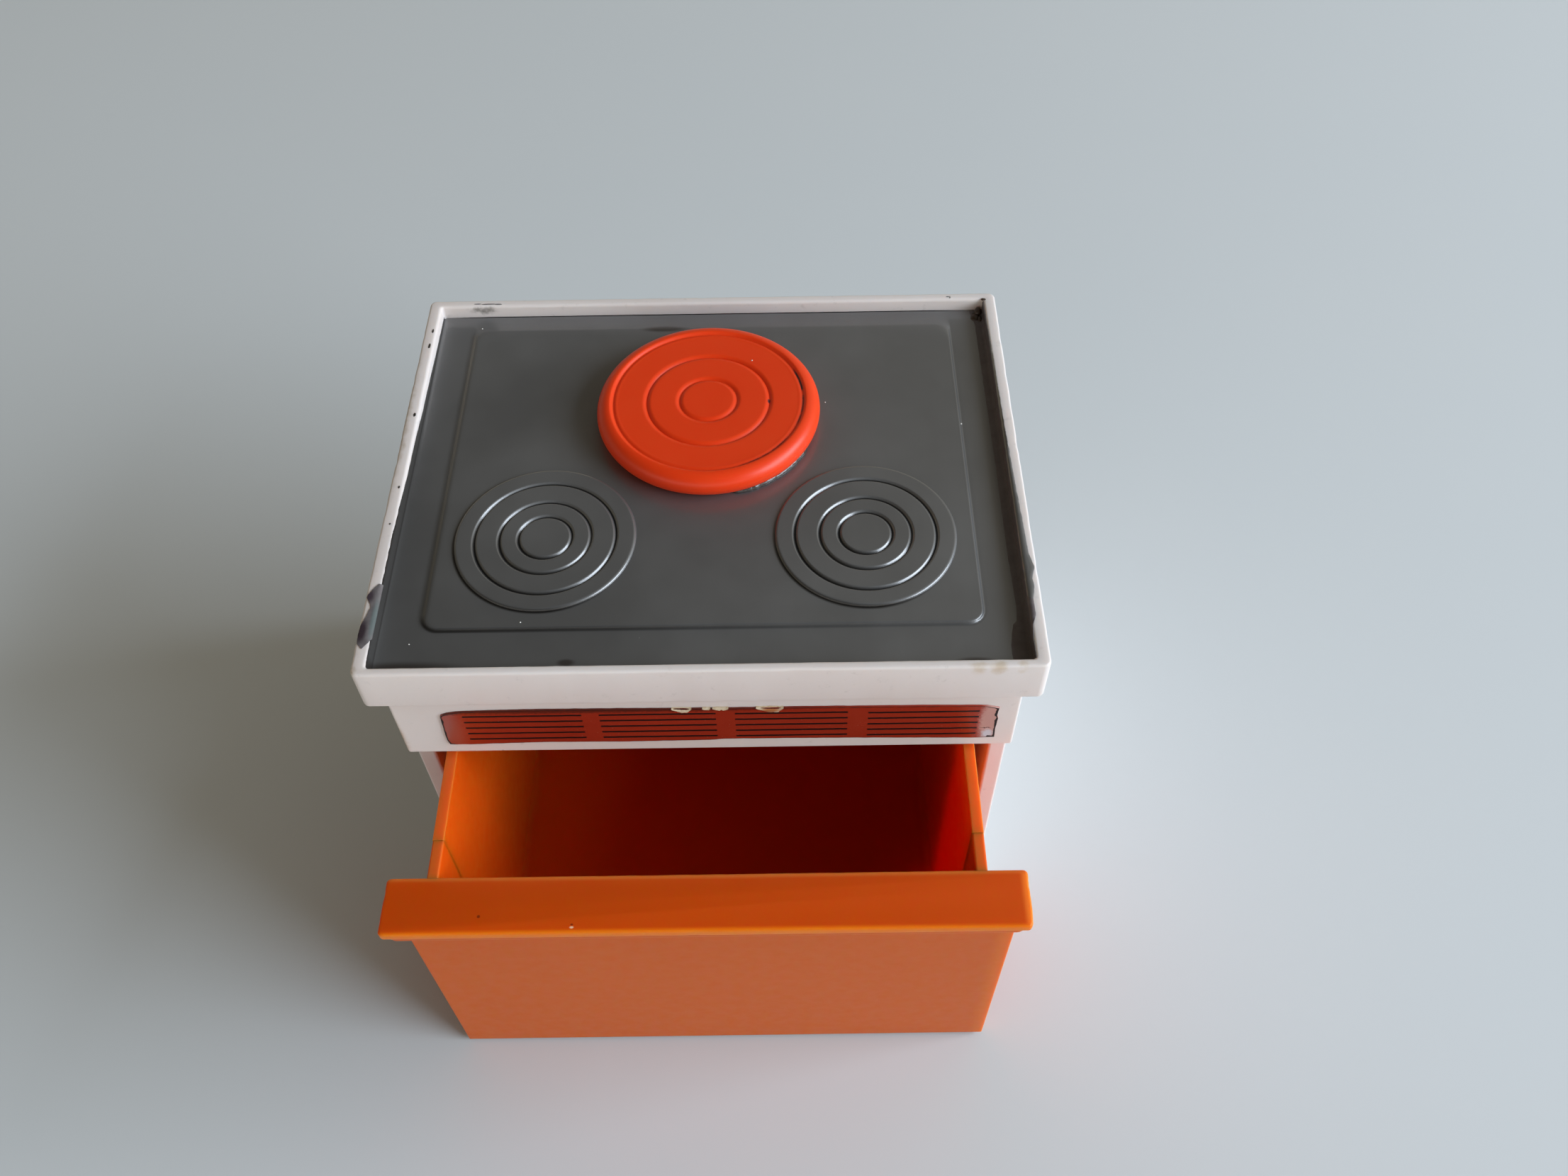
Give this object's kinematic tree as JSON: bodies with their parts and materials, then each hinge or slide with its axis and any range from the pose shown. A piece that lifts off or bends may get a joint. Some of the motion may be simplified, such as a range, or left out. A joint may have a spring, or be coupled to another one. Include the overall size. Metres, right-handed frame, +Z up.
{
  "type": "doll kitchen cooker cabinet",
  "caption": "Doll's kitchen cooker unit: white moulded cabinet with a tray top, grey hob with engraved hotplates, a round orange plate and a deep sliding orange drawer.",
  "frame": {"origin": "middle of the cabinet's flat underside, on the surface it stands on", "axes": "+X to the object's right seen from the front, +Y to the back, +Z up; the drawer opens along -Y"},
  "size_m": [0.07, 0.0755, 0.0632],
  "materials": {
    "white_plastic": "satin moulded",
    "tray_plastic": "satin moulded",
    "hob_grey": "satin",
    "disc_orange": "glossy",
    "printed_card": "film over printed card",
    "drawer_orange": "translucent, satin"
  },
  "bodies": {
    "cabinet": {"cabinet_shell": "white_plastic", "base_panel": "white_plastic", "worktop_tray": "tray_plastic", "hob_plate": "hob_grey", "hotplate_disc": "disc_orange", "grille_label": "printed_card"},
    "drawer": {"drawer_front": "drawer_orange", "drawer_pull": "drawer_orange", "drawer_tub": "drawer_orange"}
  },
  "joints": [
    {"name": "drawer_slide", "type": "slide", "parent": "cabinet", "child": "drawer", "axis": [0, -1, 0], "range_m": [-0.0164, 0.0252]}
  ]
}
